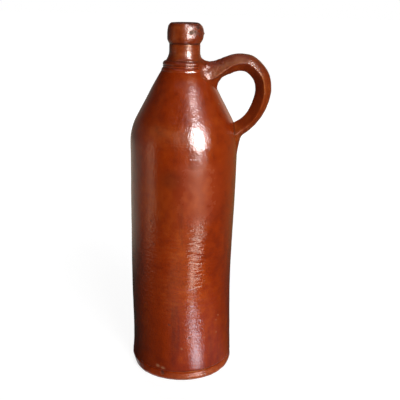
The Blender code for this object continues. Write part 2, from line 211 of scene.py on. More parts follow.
# Depths and half width of the darkened grooves between the beads, partly pooled glaze and partly painted
# shade, then the turn and half width of the collar's left side
BEAD_GROOVES = (3.4, 5.0)
BEAD_GROOVE_HALF = 0.3
COLLAR_LEFT = (-140, 42)
# Changes of its glaze: depth where each one starts and how soon it is full, then how strong it is. The first
# darkens the ledge and its bead as painted shade.
LEDGE_SHADE = (3.4, -0.4)
LEDGE_SHADE_SHARE = 0.55
COLLAR_DULL = 0.15
BEAD_DULL = (5.6, -0.5)
BEAD_DULL_MOST = 0.5
LEDGE_SHINE = (1.2, -0.4)
LEDGE_SHINE_MOST = 0.6
BEAD_MATTE = (5.4, -0.4)
BEAD_MATTE_SHARE = 0.6

# Neck: places out from the axis and up from the lip's base, then up from the ledge
BORE_RADIUS = 9.0
NECK_TOP = ((11.6, 1.2), (12.3, 0.4), (12.55, -0.6), (12.6, -3.0))
NECK_FLARE = (
    (12.65, 6.6), (12.9, 5.0), (13.4, 3.6), (14.1, 2.0),
    (14.9, 0.7), (15.3, 0.15), (15.1, -0.2), (13.5, -0.3),
)
SPIGOT_FOOT = ((12.2, -13.0), (BORE_RADIUS + 1.0, -13.5))
BORE_FOOT = COLLAR_TOP - 12.5
BORE_TOP = LIP_BASE + 1.2
NECK_OUT = ((0.1, 12, 41),)
NECK_DULL = (
    (COLLAR_TOP, 0.25), (COLLAR_TOP + 6, 0.3), (COLLAR_TOP + 10, 0.55), (LIP_BASE, 0.8),
)
# Heights where the glaze darkens at the foot of the flare and under the lip, and how soon it is full: partly
# pooled glaze, partly painted shade in these creases
FLARE_POOL_AND_SHADE = (COLLAR_TOP + 0.9, -0.8)
NECK_POOL_AND_SHADE = (LIP_BASE - 1.0, 0.8)

# Lip: places out from the bore and down from the rim
LIP_PROFILE = (
    (0.0, 8.0), (0.0, 3.0), (0.15, 1.4), (0.7, 0.45), (1.6, 0.05), (2.8, 0.1),
    (3.7, 0.6), (4.25, 1.6), (4.6, 3.0), (5.0, 6.0), (5.3, 10.0), (5.4, 12.2),
    (5.2, 13.7), (4.5, 15.1), (3.8, 16.2), (3.3, 16.9), (2.4, 17.0),
)
SOCKET_RADIUS = 11.0
SOCKET_FOOT = LIP_BASE + 0.2
SOCKET_TOP = RIM_HEIGHT - 8.4
LIP_OUTSIDE = (10.6, 1.5)
LIP_OUT = ((0.16, 10, 51),)
LIP_UP = ((0.1, 14, 52),)
# How far its pressed side swells, against the height from the rim
LIP_SWELL = (
    (-16, 0.0), (-14, 0.1), (-12, 0.7), (-8, 1.1), (-5, 1.0), (-3, 0.5), (-1, -0.5), (0, -0.9),
)
# Middle and half width, in radians from the handle, of its pressed side, left side, facet and scuffed side
LIP_PRESSED = (-0.1, 0.85)
LIP_LEFT = (math.pi, 1.0)
LIP_FACET = (-1.08, 0.35)
LIP_SCUFFED = (-0.7, 0.5)
# Knob and chips: turn, height, half width and half height
LIP_KNOB = (6, RIM_HEIGHT - 8.4, 1.6, 1.0)
LIP_CHIPS = (
    (-62.3, RIM_HEIGHT - 7.8, 1.7, 1.6), (-22, RIM_HEIGHT - 1.8, 2.2, 1.0), (130, RIM_HEIGHT - 1.6, 1.8, 0.9),
)
KNOB_HEIGHT = 0.5
LIP_CHIP_DEPTH = 0.2
FACET_DEPTH = 0.3
FACET_REACH = 1.5
PRESSED_DEPTH = 0.35
LEFT_DEPTH = 0.9
# Heights where the rim sinks, rolls, is scuffed or darkened along its top as painted shade: where each one
# starts and how soon it is full
PRESSED_SINK = (RIM_HEIGHT - 3.0, 3.0)
RIM_ROLL = (RIM_HEIGHT - 4.0, 3.0)
LEFT_SINK = (RIM_HEIGHT - 3.5, 2.5)
SCUFF_RISE = (RIM_HEIGHT - 12.0, 6.0)
RIM_SHADE_RISE = (RIM_HEIGHT - 1.3, 0.8)
# Its glaze: scuffs, painted shade along the rim's top, darkening where the lip meets the neck that is partly
# pooled glaze and partly painted shade, how dull and how matte it is
SCUFF_MEAN = 0.65
SCUFF_RIPPLES = ((1.0, 5, 53),)
RIM_SHADE = 0.9
LIP_POOL_AND_SHADE = (LIP_BASE + 1.4, -1.0)
LIP_DULL = 0.44
LIP_MATTE = 0.7

# Handle: places on its centre line, out from the axis and up, then its thickness and crease along it
HANDLE_LINE = (
    (9, 261.2), (21, 261), (31, 265.6), (45.5, 270), (52, 269.1), (57.9, 265.1),
    (62.9, 258.2), (64.6, 249.5), (62.5, 237.5), (55.3, 224.6), (46, 216.6), (37, 212),
)
HANDLE_WIDTH = 18.5
HANDLE_WIDTH_SHARE = ((0, 1.06), (30, 1.0), (85, 1.0), (122, 0.9))
HANDLE_THICKNESS = ((0, 14.4), (40, 14.1), (72, 13.2), (100, 12.2), (112, 12.4), (122, 12.0))
HANDLE_CREASE = (
    (0, 0.94), (14, 0.9), (24, 0.72), (40, 0.5), (54, 0.45), (72, 0.4), (105, 0.34), (122, 0.34),
)
HANDLE_STEP = 0.6
HANDLE_SIDES = 120
CREASE = math.radians(108)
OUTER_FACE_ARC = math.radians(50)
INNER_FACE_POWER = 1.15
CREASE_SOFTENINGS = 2

# Roots of the handle: turn, height, lift and sharpness of the smeared clay against the angle round the handle
ROOT_ROWS = 34
ROOT_SINK = 1.3
UPPER_REACH = 11.0
UPPER_ROOT = {
    "bury": 0.2,
    "hug": 0.5,
    "turn": (
        (0, 0), (30, 22), (50, 34), (70, 42), (95, 47), (108, 48),
        (122, 36), (138, 17), (158, 8), (180, 0),
    ),
    "height": (
        (0, 275), (30, 273.2), (50, 270.4), (70, 267), (95, 261.5), (108, 260),
        (122, 256), (138, 250.5), (158, 246), (180, 244.5),
    ),
    "lift": ((0, 0.5), (60, 1.2), (98, 1), (108, 1), (120, 1), (135, 1.6), (180, 3)),
    "weight": ((0, 1), (60, 1.1), (95, 1.7), (108, 4), (120, 2), (150, 0.7), (180, 0.5)),
}
LOWER_REACH = 7.0
LOWER_ROOT = {
    "bury": 0.4,
    "hug": 0.5,
    "turn": (
        (0, 0), (50, 6.5), (85, 10.5), (108, 11.6), (115, 10.8), (125, 9),
        (138, 7.1), (150, 5.1), (165, 2.6), (180, 0),
    ),
    "height": (
        (0, 187), (50, 194), (85, 206), (108, 212.2), (115, 214.4), (125, 217),
        (138, 218.8), (150, 220.1), (165, 221), (180, 221.2),
    ),
    "lift": ((0, 2.4), (60, 2.4), (98, 2), (108, 1), (118, 0.4), (140, 0.3), (180, 0.3)),
    "weight": ((0, 3.2), (60, 2.8), (95, 2.6), (108, 3), (125, 3), (180, 3)),
}
# Radius of collar and neck against the height, and how far their corner with the cone is softened
COLLAR_ENVELOPE = (
    (262, 17.7), (269.2, 17.7), (270, 16.9), (270.7, 15.3), (272, 14.1),
    (273.6, 13.4), (275, 12.9), (277, 12.65), (300, 12.6),
)
ENVELOPE_SOFTNESS = 0.4

# Unevenness of the handle, of its smeared upper root, and of the thin glaze and the painted sheen of
# bare-clay tone on it
HANDLE_RIPPLES = ((0.16, 17, 61), (0.06, 5, 62))
SMEARED_RIPPLES = ((0.12, 4, 64),)
HANDLE_THIN_RIPPLES = ((0.3, 8, 63),)
HANDLE_THIN_MEAN = 0.1
SHEEN_PAINT_RIPPLES = ((0.15, 6, 65),)
SHEEN_PAINT_MEAN = 0.25
# Rows from an end of the handle's skin: where each change starts and how soon it is full
FREE_ROWS = (3, 14)
SMEARED_STARTS = (2, 6)
SMEARED_ENDS = (60, -20)
MATTE_ROWS = (34, -14)
# The darkening of the tail's inner side where it meets the wall is painted shade
TAIL_ROWS = (23, -10)
# The same against the angle round the handle, in degrees
TAIL_SHADE = (95, 15)
SHEEN_PAINT_STARTS = (55, 25)
SHEEN_PAINT_ENDS = (112, -6)
# Against the share of the rows: middle, half width and sharpness of the stretch whose bare-clay tone paints a
# sheen, and dullness
SHEEN_PAINT_STRETCH = (0.24, 0.14, 4)
HANDLE_DULL = (
    (0, 0.8), (0.06, 0.66), (0.09, 0.5), (0.12, 0.3), (0.15, 0.1), (0.2, 0.05), (0.35, 0.05), (0.45, 0.8),
    (0.75, 0.9), (0.83, 0.4), (0.9, 0.2), (0.95, 1), (1, 1),
)
CREASE_HALF = 0.16
INNER_DULL = (CREASE + 0.05, 0.15)
INNER_DULL_MOST = 0.95
HANDLE_HAZE = 0.4
SMEARED_HAZE = 0.3

def rise(value, start, length):
    """0 up to the start, then evenly up to 1 over this length. With a negative length it rises downwards."""
    return np.clip((value - start) / length, 0, 1)

def band(value, middle, half, power=2):
    """1 in the middle, falling off at about half a width to both sides, sharply for a high power."""
    return np.exp(-((value - middle) / half) ** power)

def smooth_curve(x, knots):
    """A smooth curve through (x, y) knots, evaluated at x."""
    xs, ys = np.array(knots, float).T
    slopes = np.gradient(ys, xs)
    x = np.clip(x, xs[0], xs[-1])
    index = np.clip(np.searchsorted(xs, x, side="right") - 1, 0, len(xs) - 2)
    step = xs[index + 1] - xs[index]
    way = (x - xs[index]) / step
    start = (1 + 2 * way) * (1 - way) ** 2 * ys[index] + way * (1 - way) ** 2 * step * slopes[index]
    end = way ** 2 * (3 - 2 * way) * ys[index + 1] + way ** 2 * (way - 1) * step * slopes[index + 1]
    return start + end

def distances(path):
    """How far along a path each of its points is."""
    return np.concatenate(([0.0], np.cumsum(np.linalg.norm(np.diff(path, axis=0), axis=1))))

def spline(knots, spacing):
    """Points about this far apart on a smooth curve through (radius, height) knots."""
    knots = np.array(knots, float)
    run = distances(knots)
    place = np.linspace(0.0, run[-1], max(2, int(run[-1] / spacing) + 1))
    return np.column_stack([smooth_curve(place, np.column_stack((run, column))) for column in knots.T])

def line(start, end, spacing):
    """Points on a straight line between two (radius, height) points, without its end."""
    start = np.array(start, float)
    end = np.array(end, float)
    count = max(1, int(np.linalg.norm(end - start) / spacing))
    share = np.arange(count)[:, None] / count
    return start + (end - start) * share

def ripple(points, length, seed):
    """A smooth uneven field over points, about -1 to 1, with features of about this length."""
    dice = np.random.RandomState(seed)
    waves = dice.normal(size=(3, RIPPLE_WAVES))
    waves *= dice.uniform(*RIPPLE_SPREAD, RIPPLE_WAVES) * 2 * math.pi / length / np.linalg.norm(waves, axis=0)
    return RIPPLE_GAIN * np.sin(points @ waves + dice.uniform(0, 2 * math.pi, RIPPLE_WAVES)).mean(axis=-1)

def uneven(points, ripples):
    """The sum of ripples, each given by its height, length and seed."""
    return sum(high * ripple(points, length, seed) for high, length, seed in ripples)

def off_axis(points):
    """Distance of points from the axis."""
    return np.hypot(points[..., 0], points[..., 1])

def turn_of(points):
    """Angle of points about the axis, in radians from the handle."""
    return np.arctan2(points[..., 1], points[..., 0])

def even(points, value):
    """The same value at each point."""
    return np.full(points.shape[:2], value)

def wall_radius(height):
    """Outer radius of the body at these heights."""
    cone = COLLAR_RADIUS + (BODY_TOP - height) * math.tan(CONE_ANGLE) + smooth_curve(height, CONE_SWELL)
    drop = np.clip(height - FILLET_BASE, 0.0, SHOULDER_FILLET)
    arc = SHOULDER_RADIUS - SHOULDER_FILLET + np.sqrt(SHOULDER_FILLET ** 2 - drop ** 2)
    wall = smooth_curve(height, WALL_KNOTS)
    return np.where(height > CONE_FOOT, cone, np.where(height > FILLET_BASE, arc, wall))

def lean(points):
    """Moves points sideways as the thrown body's axis wanders."""
    points[..., 0] += smooth_curve(points[..., 2], LEAN_KNOTS)
    return points

def push_out(points, amount):
    """Moves points away from the axis by these amounts."""
    radius = np.maximum(off_axis(points), WELD)
    points[..., :2] *= (1 + amount / radius)[..., None]

def bump_mask(points, turn, height, wide, high):
    """1 round a place at this turn from the handle in degrees and this height, with these half sizes."""
    angle = (turn_of(points) - math.radians(turn) + math.pi) % (2 * math.pi) - math.pi
    across = angle * off_axis(points) / wide
    along = (points[..., 2] - height) / high
    return np.exp(-(across ** 2 + along ** 2) ** 2)

def turn_mask(points, turn, wide):
    """1 at this turn from the handle in degrees, falling off over this many degrees to both sides."""
    away = (np.degrees(turn_of(points)) - turn + 180) % 360 - 180
    return band(away, 0, wide)

def groove_share(points):
    """How open the groove above the foot ring is: deepest in front on the handle's side."""
    return GROOVE_LEAST + (1 - GROOVE_LEAST) * turn_mask(points, *GROOVE_SIDE)

def spin(outline, segments):
    """Points of an outline turned about Z, as rows of rings."""
    angle = 2 * math.pi * np.arange(segments) / segments
    ring = np.column_stack((np.cos(angle), np.sin(angle)))
    points = np.empty((len(outline), segments, 3))
    points[..., :2] = outline[:, 0, None, None] * ring[None]
    points[..., 2] = outline[:, 1, None]
    return points

def skin(name, points, loop, fields, material):
    """A mesh object over rows of rings. A loop joins its last row to its first, and other ends are capped."""
    rows, sides = points.shape[:2]
    index = np.arange(rows * sides).reshape(rows, sides)
    below = index if loop else index[:-1]
    above = np.roll(index, -1, axis=0) if loop else index[1:]
    quads = np.stack((below, np.roll(below, -1, axis=1), np.roll(above, -1, axis=1), above), axis=-1)
    faces = quads.reshape(-1, 4).tolist()
    if not loop:
        faces += [index[0].tolist(), index[-1].tolist()]
    mesh = bpy.data.meshes.new(name)
    mesh.from_pydata((points * MM).reshape(-1, 3).tolist(), [], faces)
    for field, values in fields.items():
        layer = mesh.attributes.new(field, "FLOAT", "POINT")
        layer.data.foreach_set("value", values.astype(np.float32).ravel())
    shape = bmesh.new()
    shape.from_mesh(mesh)
    bmesh.ops.remove_doubles(shape, verts=shape.verts, dist=WELD * MM)
    bmesh.ops.triangulate(shape, faces=[face for face in shape.faces if len(face.verts) > 4])
    bmesh.ops.recalc_face_normals(shape, faces=shape.faces)
    shape.to_mesh(mesh)
    shape.free()
    mesh.shade_smooth()
    mesh.materials.append(material)
    item = bpy.data.objects.new(name, mesh)
    bpy.context.scene.collection.objects.link(item)
    return item

def base_outline():
    """From the middle of the inside floor over the rounded foot edge to the middle of the underside."""
    upper = [(FOOT_RADIUS + out, RING_TOP - down) for out, down in UPPER_EDGE]
    lower = [(FOOT_RADIUS + out, up) for out, up in LOWER_EDGE]
    edge = spline(upper + lower, FINE)
    floor = line((0.0, FLOOR_HEIGHT), (FLOOR_RADIUS, FLOOR_HEIGHT), COARSE)
    step = line((FLOOR_RADIUS, FLOOR_HEIGHT), edge[0], COARSE)
    under = line(edge[-1], (0.0, 0.0), UNDERSIDE_STEP)
    return np.concatenate((floor, step, edge[:-1], under, [(0.0, 0.0)]))

def base_fields(points, outer, chips):
    """Bare clay at the bottom of the foot, thin glaze on its edge, and dull glaze at the groove, darkened
    there partly as pooled glaze and partly as painted shade.
    """
    height = points[..., 2]
    groove = groove_share(points)
    bare = rise(height, BARE_TOP + uneven(points, BARE_RIPPLES), -BARE_FADE)
    for mark in BARE_MARKS:
        bare = np.maximum(bare, MARK_SHARE * bump_mask(points, *mark))
    thin = outer * groove * rise(np.abs(height - THIN_HEIGHT), *THIN_RISE)
    # Darkening in the groove: partly pooled glaze, partly painted shade
    pool_and_shade = GROOVE_POOL_AND_SHADE * groove * band(height, RING_TOP, BASE_POOL_AND_SHADE_HALF)
    dull = FOOT_DULL_SHARE * turn_mask(points, *FOOT_DULL_SIDE)
    dull = np.maximum(dull, outer * rise(height, *FOOT_DULL_RISE))
    return {"bare": bare, "thin": thin, "pool_and_shade": pool_and_shade, "wear_and_shade": np.clip(chips, 0, 1), "dull": dull}

def make_base(material):
    """The base slab with its rounded foot edge, chips, and a bare underside."""
    points = spin(base_outline(), BODY_SEGMENTS)
    height = points[..., 2]
    radius = off_axis(points)
    outer = (radius > EDGE_RADIUS) & (height < RING_TOP)
    flush = rise(height, 0, FLUSH_TOP) * np.maximum(FOOT_RADIUS - radius, 0)
    push_out(points, outer * (1 - groove_share(points)) * flush)
    for turn, wide, depth in FOOT_TRIMS:
        push_out(points, -depth * outer * turn_mask(points, turn, wide) * rise(height, *TRIM_RISE))
    chips = sum(bump_mask(points, *chip) for chip in FOOT_CHIPS)
    push_out(points, outer * (uneven(points, FOOT_RIPPLES) - CHIP_DEPTH * chips))
    under = (height < UNDER_TOP) & (radius > UNDER_MIDDLE) & (radius < EDGE_RADIUS)
    points[..., 2] += under * (UNDER_LIFT + uneven(points, UNDER_RIPPLES))
    fields = base_fields(points, outer, chips)
    piece = skin("glazed_base", lean(points), False, fields, material)
    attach(piece, "root")
    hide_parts("base_disc")

def throwing_rings(points):
    """The fine spiral that the potter's fingers leave, strongest on the lower half."""
    height = points[..., 2]
    pitch = RING_PITCH + PITCH_CHANGE * np.sin(height / PITCH_LENGTH)
    spiral = np.sin(2 * math.pi * height / pitch + turn_of(points) + uneven(points, RING_WANDER))
    return smooth_curve(height, RING_DEPTH) * (RING_MEAN + uneven(points, RING_UNEVEN)) * spiral

def body_outline(foot):
    """Down the outside, round the edge over the groove and up the inside, and how many points are outside."""
    heights = np.arange(BODY_TOP, RING_TOP + 2 * MEDIUM, -MEDIUM)
    outer = np.column_stack((wall_radius(heights), heights))
    rounding = [(foot - back, RING_TOP + up) for back, up in WALL_ROUNDING]
    inside = np.arange(RING_TOP, INSIDE_TOP, COARSE)
    gap = np.where(inside > CONE_FOOT, WALL_THICKNESS / math.cos(CONE_ANGLE), WALL_THICKNESS)
    inner = np.column_stack((wall_radius(inside) - gap, inside))
    opening = [(OPENING_RADIUS, BODY_TOP - OPENING_DEPTH), (OPENING_RADIUS, BODY_TOP)]
    return np.concatenate((outer, rounding, inner, opening)), len(outer)

def finger_marks(points):
    """Where fingers have marked the wall, and where their smears left thin glaze."""
    height = points[..., 2]
    sides = np.maximum(turn_mask(points, *FINGER_FRONT), FINGER_BACK_SHARE * turn_mask(points, *FINGER_BACK))
    fingered = band(height, *FINGER_BAND) * sides
    wave = np.sin(2 * math.pi * height / SMEAR_PITCH + uneven(points, SMEAR_WANDER))
    smears = SMEAR_SHARE * (SMEAR_MEAN + SMEAR_SWING * wave)
    smears *= np.clip(SMEAR_COVER + uneven(points, SMEAR_BREAKS), 0, 1)
    return fingered, fingered * turn_mask(points, *SMEAR_SIDE) * smears

def body_fields(points):
    """Where the wall's glaze is dull, hazy, thin or marked by fingers, and where it is darkened: partly
    pooled glaze and partly painted shade in the groove, painted shade beside the handle's tail and low on the
    left side.
    """
    height = points[..., 2]
    fields = {name: even(points, 0.0) for name in ("pool_and_shade", "dull", "hazy")}
    fields["fingered"], fields["thin"] = finger_marks(points)
    for name, share, turn, wide, *place in BODY_PATCHES:
        fields[name] += share * turn_mask(points, turn, wide) * band(height, *place)
    for name, share, *place in BODY_SPOTS:
        fields[name] += share * bump_mask(points, *place)
    for name, share, turn, wide, *place in BODY_SIDES:
        fields[name] += share * turn_mask(points, turn, wide) * rise(height, *place)
    for name, share, *place in CONE_FADES:
        fields[name] += share * rise(height, *place)
    # Darkening in the groove: partly pooled glaze, partly painted shade
    fields["pool_and_shade"] += GROOVE_POOL_AND_SHADE * groove_share(points) * band(height, RING_TOP, WALL_POOL_AND_SHADE_HALF)
    return fields

def make_body(material):
    """The thrown wall, shoulder and cone, hollow inside."""
    foot = wall_radius(np.array([RING_TOP]))[0]
    outline, rows = body_outline(foot)
    points = spin(outline, BODY_SEGMENTS)
    outside = points[:rows]
    push_out(outside, throwing_rings(outside) + uneven(outside, WALL_RIPPLES))
    pits = even(points, 0.0)
    pits[:rows] = sum(bump_mask(outside, turn, height, wide, wide) for turn, height, wide in PITS)
    push_out(points, -PIT_DEPTH * pits)
    specks = even(points, 0.0)
    for turn, height, wide in SPECKS:
        specks[:rows] += SPECK_SHARE * bump_mask(outside, turn, height, wide, SPECK_SHAPE * wide)
    rounding = points[rows:rows + len(WALL_ROUNDING) - 1]
    push_out(rounding, (1 - groove_share(rounding)) * (foot - off_axis(rounding)))
    fields = body_fields(points)
    fields["wear_and_shade"] = np.clip(pits, 0, 1)
    fields["bare"] = np.clip(specks, 0, 1)
    piece = skin("glazed_body", lean(points), True, fields, material)
    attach(piece, "root")
    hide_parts("body_wall")

def collar_fields(points):
    """Glaze darkened in the grooves, partly as pooled glaze and partly as painted shade, and on the ledge as
    painted shade, and beads that are duller away from the left side.
    """
    drop = COLLAR_TOP - points[..., 2]
    # Darkening: partly pooled glaze and partly painted shade in the grooves, painted shade on the ledge
    pool_and_shade = sum(band(drop, groove, BEAD_GROOVE_HALF) for groove in BEAD_GROOVES)
    pool_and_shade += LEDGE_SHADE_SHARE * rise(drop, *LEDGE_SHADE)
    beads = np.minimum(rise(drop, *BEAD_DULL), BEAD_DULL_MOST)
    ledge = np.minimum(rise(drop, *LEDGE_SHINE), LEDGE_SHINE_MOST)
    dull = COLLAR_DULL + (beads - ledge) * (1 - turn_mask(points, *COLLAR_LEFT))
    return {"dull": dull, "pool_and_shade": np.clip(pool_and_shade, 0, 1), "matte": BEAD_MATTE_SHARE * rise(drop, *BEAD_MATTE)}

def make_collar(material):
    """The ring under the neck: a ledge and two tooled beads that run out on to the cone."""
    knots = [(COLLAR_RADIUS + out, COLLAR_TOP - down) for out, down in COLLAR_PROFILE]
    outer = spline([(LEDGE_RADIUS, knots[0][1])] + knots, FINE)
    inner = [(OPENING_RADIUS, COLLAR_TOP - COLLAR_DEPTH), (LEDGE_RADIUS, BODY_TOP)]
    points = spin(np.concatenate((outer, inner)), NECK_SEGMENTS)
    outside = points[:len(outer)]
    push_out(outside, uneven(outside, COLLAR_OUT))
    outside[..., 2] += uneven(outside, COLLAR_UP)
    fields = collar_fields(points)
    piece = skin("glazed_collar", lean(points), True, fields, material)
    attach(piece, "root")
    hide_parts("shoulder_collar")

def make_neck(material):
    """The neck from its flared foot on the ledge up into the lip, with its bore."""
    top = [(radius, LIP_BASE + up) for radius, up in NECK_TOP]
    flare = [(radius, COLLAR_TOP + up) for radius, up in NECK_FLARE]
    outer = spline(top + flare, FINE)
    spigot = [(radius, COLLAR_TOP + up) for radius, up in SPIGOT_FOOT]
    bore = line((BORE_RADIUS, BORE_FOOT), (BORE_RADIUS, BORE_TOP), BORE_STEP)
    points = spin(np.concatenate((outer, spigot, bore)), NECK_SEGMENTS)
    outside = points[:len(outer)]
    push_out(outside, uneven(outside, NECK_OUT))
    height = points[..., 2]
    # Darkening at the flare's foot and under the lip: partly pooled glaze, partly painted shade
    pool_and_shade = rise(height, *FLARE_POOL_AND_SHADE) + rise(height, *NECK_POOL_AND_SHADE)
    fields = {"dull": smooth_curve(height, NECK_DULL), "pool_and_shade": np.clip(pool_and_shade, 0, 1)}
    piece = skin("glazed_neck", lean(points), True, fields, material)
    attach(piece, "root")
    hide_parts("neck_tube")

def sink_rim(points, outside):
    """Lets the rim sink on two sides and roll a little, and flattens a facet in front."""
    height = points[..., 2]
    angle = turn_of(points)
    height -= PRESSED_DEPTH * band(angle, *LIP_PRESSED) * rise(height, *PRESSED_SINK)
    height += uneven(points, LIP_UP) * rise(height, *RIM_ROLL)
    middle, half = LIP_FACET
    facet = (angle - middle) / half
    push_out(points, outside * FACET_DEPTH * facet ** 2 * band(facet, 0, FACET_REACH, 4))
    height -= LEFT_DEPTH * band(np.abs(angle), *LIP_LEFT) * outside * rise(height, *LEFT_SINK)

def lip_fields(points, outside, marks):
    """Worn marks and a scuffed side, painted shade along the rim's top, and glaze darkened where the lip
    meets the neck, partly as pooled glaze and partly as painted shade.
    """
    height = points[..., 2]
    scuffed = band(turn_of(points), *LIP_SCUFFED) * rise(height, *SCUFF_RISE)
    scuffed *= np.clip(SCUFF_MEAN + uneven(points, SCUFF_RIPPLES), 0, 1)
    # Worn marks and scuffs, and along the rim's top a painted shade
    wear_and_shade = np.clip(marks + outside * scuffed + RIM_SHADE * rise(height, *RIM_SHADE_RISE), 0, 1)
    # Darkening under the lip: partly pooled glaze, partly painted shade
    pool_and_shade = rise(height, *LIP_POOL_AND_SHADE)
    return {"dull": even(points, LIP_DULL), "pool_and_shade": pool_and_shade, "wear_and_shade": wear_and_shade, "matte": even(points, LIP_MATTE)}

def make_lip(material):
    """The thick rim, pressed out of round and worn on the handle's side."""
    outer = spline([(BORE_RADIUS + out, RIM_HEIGHT - down) for out, down in LIP_PROFILE], FINE)
    inner = [(SOCKET_RADIUS, SOCKET_FOOT), (SOCKET_RADIUS, SOCKET_TOP)]
    points = spin(np.concatenate((outer, inner)), NECK_SEGMENTS)
    outside = rise(off_axis(points), *LIP_OUTSIDE)
    swell = smooth_curve(points[..., 2] - RIM_HEIGHT, LIP_SWELL)
    push_out(points, outside * band(turn_of(points), *LIP_PRESSED) * swell)
    push_out(points, outside * uneven(points, LIP_OUT))
    knob = bump_mask(points, *LIP_KNOB)
    chips = sum(bump_mask(points, *chip) for chip in LIP_CHIPS)
    push_out(points, outside * (KNOB_HEIGHT * knob - LIP_CHIP_DEPTH * chips))
    sink_rim(points, outside)
    fields = lip_fields(points, outside, knob + chips)
    piece = skin("glazed_lip", lean(points), True, fields, material)
    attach(piece, "root")
    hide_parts("lip_ring")

def handle_section(crease):
    """Places out and sideways round the handle, whose creases are this far out, with their fold and side."""
    turn = 2 * math.pi * np.arange(HANDLE_SIDES) / HANDLE_SIDES
    fold = np.abs((turn + math.pi) % (2 * math.pi) - math.pi)
    side = np.sign(np.sin(turn))
    swing = np.clip(fold / CREASE, 0, 1) * OUTER_FACE_ARC
    inner = np.clip((math.pi - fold) / (math.pi - CREASE), 0, 1)
    spread = np.sin(swing) / math.sin(OUTER_FACE_ARC)
    lift = (np.cos(swing) - math.cos(OUTER_FACE_ARC)) / (1 - math.cos(OUTER_FACE_ARC))
    out_face = crease + (0.5 - crease) * lift
    in_face = -0.5 + (crease + 0.5) * inner ** INNER_FACE_POWER
    out = np.where(fold < CREASE, out_face, in_face)
    sideways = np.broadcast_to(np.where(fold < CREASE, spread, inner) * side, out.shape)
    for _ in range(CREASE_SOFTENINGS):
        sideways = (np.roll(sideways, 1, axis=1) + 2 * sideways + np.roll(sideways, -1, axis=1)) / 4
        out = (np.roll(out, 1, axis=1) + 2 * out + np.roll(out, -1, axis=1)) / 4
    return out, sideways, fold, side

def handle_rings():
    """Rings of the swept handle, round outside and flatter inside, with a soft crease along each side."""
    path = spline(HANDLE_LINE, HANDLE_STEP)
    run = distances(path)
    along = np.gradient(path, axis=0)
    along /= np.linalg.norm(along, axis=1)[:, None]
    outward = np.column_stack((-along[:, 1], along[:, 0]))
    out, sideways, fold, side = handle_section(0.5 - smooth_curve(run, HANDLE_CREASE)[:, None])
    out = out * smooth_curve(run, HANDLE_THICKNESS)[:, None]
    points = np.empty(out.shape + (3,))
    points[..., 0] = path[:, 0, None] + outward[:, 0, None] * out
    points[..., 1] = sideways * smooth_curve(run, HANDLE_WIDTH_SHARE)[:, None] * HANDLE_WIDTH / 2
    points[..., 2] = path[:, 1, None] + outward[:, 1, None] * out
    return points, run, fold, side

def envelope(height):
    """Radius of the body or, above the cone, of collar and neck, with their corner softened."""
    upper = smooth_curve(height, COLLAR_ENVELOPE)
    proud = (wall_radius(height) - upper) / ENVELOPE_SOFTNESS
    return upper + ENVELOPE_SOFTNESS * np.logaddexp(0.0, proud)

def to_wall(points):
    """Turn, height and distance off the wall of points near the body."""
    off = off_axis(points) - envelope(points[..., 2])
    return np.stack((turn_of(points), points[..., 2], off), axis=-1)

def from_wall(places):
    """Points at these turns, heights and distances off the wall."""
    turn, height, off = np.moveaxis(places, -1, 0)
    radius = envelope(height) + off
    return np.stack((radius * np.cos(turn), radius * np.sin(turn), height), axis=-1)

def mirrored(degrees, knots):
    """A smooth curve over 0 to 180 degrees that is level at both ends."""
    before = [(-x, y) for x, y in knots[:0:-1]]
    after = [(360 - x, y) for x, y in knots[-2::-1]]
    return smooth_curve(degrees, (*before, *knots, *after))

def root_corner(places, lift):
    """Where each line along the handle comes this far off the wall."""
    first = np.maximum(np.argmax(places[..., 2] > lift, axis=0), 1)
    column = np.arange(len(lift))
    low = places[first - 1, column]
    high = places[first, column]
    share = np.clip((lift - low[:, 2]) / (high[:, 2] - low[:, 2]), 0, 1)[:, None]
    return low + (high - low) * share

def root_rows(rings, last, root, fold, side):
    """Rows that hollow out from the wall up to the handle's ring at last, with one row sunk in the wall."""
    degrees = np.degrees(fold)
    weight = mirrored(degrees, root["weight"])[:, None]
    places = to_wall(rings[:last + 1])
    corner = root_corner(places, mirrored(degrees, root["lift"]))
    foot = np.zeros_like(corner)
    foot[:, 0] = np.radians(smooth_curve(degrees, root["turn"])) * side
    foot[:, 1] = mirrored(degrees, root["height"])
    foot[:, 2] = -root["bury"]
    leave = foot + (corner - foot) * root["hug"]
    leave[:, 2] = 0.0
    way = np.linspace(0.0, 1.0, ROOT_ROWS)[:, None, None]
    shares = ((1 - way) ** 3, 3 * way * (1 - way) ** 2, 3 * way * way * (1 - way) * weight, way ** 3)
    controls = (foot, leave, corner, places[last])
    rows = sum(share * place for share, place in zip(shares, controls)) / sum(shares)
    sunk = foot.copy()
    sunk[:, 2] = -ROOT_SINK
    return np.concatenate((from_wall(sunk)[None], from_wall(rows)[:-1]))

def swell_out(points, amount):
    """Moves rows of rings along their normals, away from each ring's middle, by these amounts."""
    around = np.roll(points, -1, axis=1) - np.roll(points, 1, axis=1)
    normal = np.cross(around, np.gradient(points, axis=0))
    normal /= np.maximum(np.linalg.norm(normal, axis=-1, keepdims=True), WELD ** 2)
    spoke = points - points.mean(axis=1, keepdims=True)
    middle = len(points) // 2
    outward = np.sign((normal[middle] * spoke[middle]).sum())
    points += outward * normal * amount[..., None]

def handle_skin():
    """Rows of the handle with both its roots, and the fold of their points."""
    rings, run, fold, side = handle_rings()
    middle = (rings[:, 0] + rings[:, HANDLE_SIDES // 2]) / 2
    proud = np.nonzero(to_wall(middle)[:, 2] > 0.0)[0]
    first = np.searchsorted(run, run[proud[0]] + UPPER_REACH)
    last = np.searchsorted(run, run[proud[-1]] - LOWER_REACH)
    upper = root_rows(rings, first, UPPER_ROOT, fold, side)
    lower = root_rows(rings[::-1], len(rings) - 1 - last, LOWER_ROOT, fold, side)
    return np.concatenate((upper, rings[first:last + 1], lower[::-1])), fold

